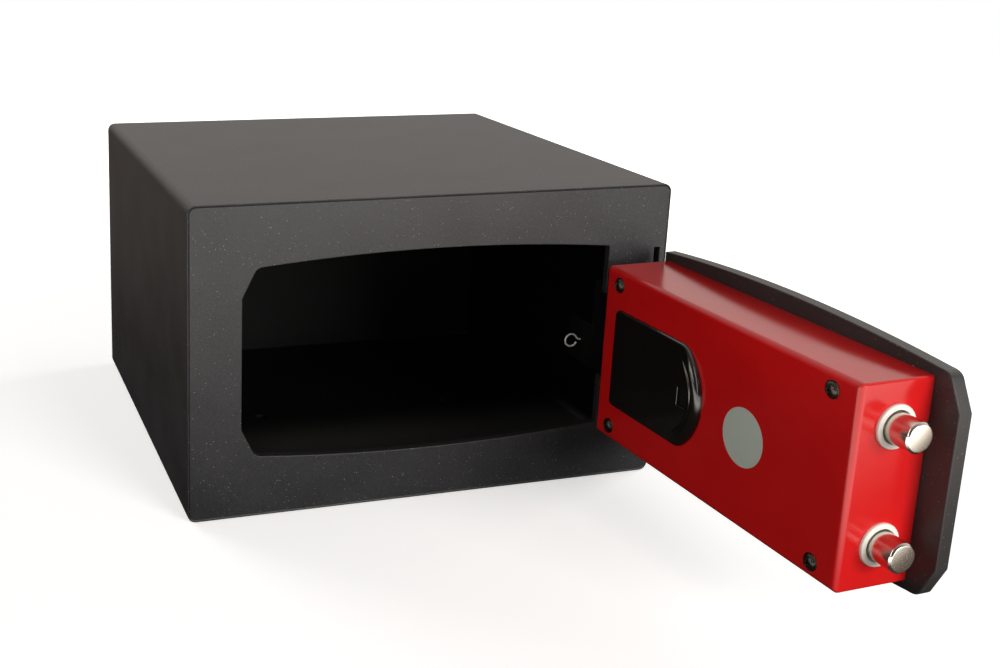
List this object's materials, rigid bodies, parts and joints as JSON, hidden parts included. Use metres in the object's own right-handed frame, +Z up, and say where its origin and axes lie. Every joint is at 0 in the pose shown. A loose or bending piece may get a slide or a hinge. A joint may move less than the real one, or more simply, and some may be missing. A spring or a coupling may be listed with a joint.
{
  "type": "portable car safe",
  "caption": "Free-standing steel safe with an arched doorway and a swung-open door that carries a keypad, a knob, sliding bolts and a red lock cover.",
  "frame": {"origin": "middle of the body's base, on the surface it stands on", "axes": "+Z up, +Y from the doorway into the safe, +X towards the hinge side"},
  "size_m": [0.3816, 0.6157, 0.22],
  "materials": {
    "charcoal_powder": "fine-grained satin powder coat",
    "red_gloss": "glossy enamel",
    "black_steel": "blackened steel",
    "zinc_steel": "zinc plated",
    "nickel": "bright nickel plated",
    "nylon": "moulded nylon",
    "black_plastic": "moulded plastic",
    "key_grey": "moulded plastic",
    "tinted_window": "clear gloss over a dark ground",
    "circuit_board": "lacquered laminate",
    "cell_wrap": "plain shrink wrap",
    "label": "bare silver-grey foil"
  },
  "bodies": {
    "cabinet": {"body_shell": "charcoal_powder", "back_panel": "charcoal_powder", "front_frame": "charcoal_powder", "hinge_bracket": "charcoal_powder", "bracket_tab": "charcoal_powder", "hinge_pin": "zinc_steel", "split_pin": "zinc_steel", "bolt_keeper": "charcoal_powder"},
    "door": {"door_plate": "charcoal_powder", "hinge_leaf": "charcoal_powder", "lock_cover": "red_gloss", "cover_screw_1": "black_steel", "cover_screw_2": "black_steel", "cover_screw_3": "black_steel", "cover_screw_4": "black_steel", "cover_post_1": "zinc_steel", "cover_post_2": "zinc_steel", "cover_post_3": "zinc_steel", "cover_post_4": "zinc_steel", "upper_bolt_bushing": "nylon", "lower_bolt_bushing": "nylon", "upper_guide_post": "zinc_steel", "lower_guide_post": "zinc_steel", "lock_base": "zinc_steel", "knob_rosette": "nickel", "solenoid": "black_steel", "override_lock_body": "nickel", "keypad_housing": "black_plastic", "display_window": "tinted_window", "circuit_board": "circuit_board", "battery_tray": "black_plastic", "battery_cell_1": "cell_wrap", "battery_cell_2": "cell_wrap", "battery_cell_3": "cell_wrap", "battery_cell_4": "cell_wrap", "round_label": "label"},
    "boltwork": {"upper_bolt": "nickel", "lower_bolt": "nickel", "bolt_carrier": "zinc_steel"},
    "knob": {"knob": "black_plastic", "knob_spindle": "zinc_steel", "crank_disc": "zinc_steel"},
    "solenoid_plunger": {"solenoid_plunger": "nickel"},
    "override_plug": {"override_lock_plug": "nickel", "override_lock_cam": "zinc_steel"},
    "battery_cover": {"battery_cover": "black_plastic"},
    "key_1": {"key_1": "key_grey"},
    "key_2": {"key_2": "key_grey"},
    "key_3": {"key_3": "key_grey"},
    "key_4": {"key_4": "key_grey"},
    "key_5": {"key_5": "key_grey"},
    "key_6": {"key_6": "key_grey"},
    "key_7": {"key_7": "key_grey"},
    "key_8": {"key_8": "key_grey"},
    "key_9": {"key_9": "key_grey"},
    "key_10": {"key_10": "key_grey"},
    "key_11": {"key_11": "key_grey"},
    "key_12": {"key_12": "key_grey"}
  },
  "joints": [
    {"name": "door_hinge", "type": "hinge", "parent": "cabinet", "child": "door", "pos_m": [0.15865, -0.15375, 0.11], "axis": [0, 0, 1], "range_deg": [-92.6, 17.4]},
    {"name": "knob_turn", "type": "hinge", "parent": "door", "child": "knob", "pos_m": [0.17936, -0.36173, 0.11], "axis": [0.999, 0.0454, 0], "range_deg": [0, 90]},
    {"name": "bolt_slide", "type": "slide", "parent": "door", "child": "boltwork", "axis": [0.0454, -0.999, 0], "range_m": [0, 0.015]},
    {"name": "plunger_slide", "type": "slide", "parent": "door", "child": "solenoid_plunger", "axis": [0, 0, 1], "range_m": [0, 0.003]},
    {"name": "override_turn", "type": "hinge", "parent": "door", "child": "override_plug", "pos_m": [0.17745, -0.31969, 0.14], "axis": [0.999, 0.0454, 0], "range_deg": [0, 90]},
    {"name": "battery_cover_lift", "type": "slide", "parent": "door", "child": "battery_cover", "axis": [-0.999, -0.0454, 0], "range_m": [0, 0.03]},
    {"name": "key_1_press", "type": "slide", "parent": "door", "child": "key_1", "axis": [-0.999, -0.0454, 0], "range_m": [0, 0.001], "stiffness_N_per_m": 400},
    {"name": "key_2_press", "type": "slide", "parent": "door", "child": "key_2", "axis": [-0.999, -0.0454, 0], "range_m": [0, 0.001], "stiffness_N_per_m": 400},
    {"name": "key_3_press", "type": "slide", "parent": "door", "child": "key_3", "axis": [-0.999, -0.0454, 0], "range_m": [0, 0.001], "stiffness_N_per_m": 400},
    {"name": "key_4_press", "type": "slide", "parent": "door", "child": "key_4", "axis": [-0.999, -0.0454, 0], "range_m": [0, 0.001], "stiffness_N_per_m": 400},
    {"name": "key_5_press", "type": "slide", "parent": "door", "child": "key_5", "axis": [-0.999, -0.0454, 0], "range_m": [0, 0.001], "stiffness_N_per_m": 400},
    {"name": "key_6_press", "type": "slide", "parent": "door", "child": "key_6", "axis": [-0.999, -0.0454, 0], "range_m": [0, 0.001], "stiffness_N_per_m": 400},
    {"name": "key_7_press", "type": "slide", "parent": "door", "child": "key_7", "axis": [-0.999, -0.0454, 0], "range_m": [0, 0.001], "stiffness_N_per_m": 400},
    {"name": "key_8_press", "type": "slide", "parent": "door", "child": "key_8", "axis": [-0.999, -0.0454, 0], "range_m": [0, 0.001], "stiffness_N_per_m": 400},
    {"name": "key_9_press", "type": "slide", "parent": "door", "child": "key_9", "axis": [-0.999, -0.0454, 0], "range_m": [0, 0.001], "stiffness_N_per_m": 400},
    {"name": "key_10_press", "type": "slide", "parent": "door", "child": "key_10", "axis": [-0.999, -0.0454, 0], "range_m": [0, 0.001], "stiffness_N_per_m": 400},
    {"name": "key_11_press", "type": "slide", "parent": "door", "child": "key_11", "axis": [-0.999, -0.0454, 0], "range_m": [0, 0.001], "stiffness_N_per_m": 400},
    {"name": "key_12_press", "type": "slide", "parent": "door", "child": "key_12", "axis": [-0.999, -0.0454, 0], "range_m": [0, 0.001], "stiffness_N_per_m": 400}
  ],
  "couplings": [
    {"joint": "knob_turn", "follows": "bolt_slide", "rad_per_m": 104.72}
  ]
}
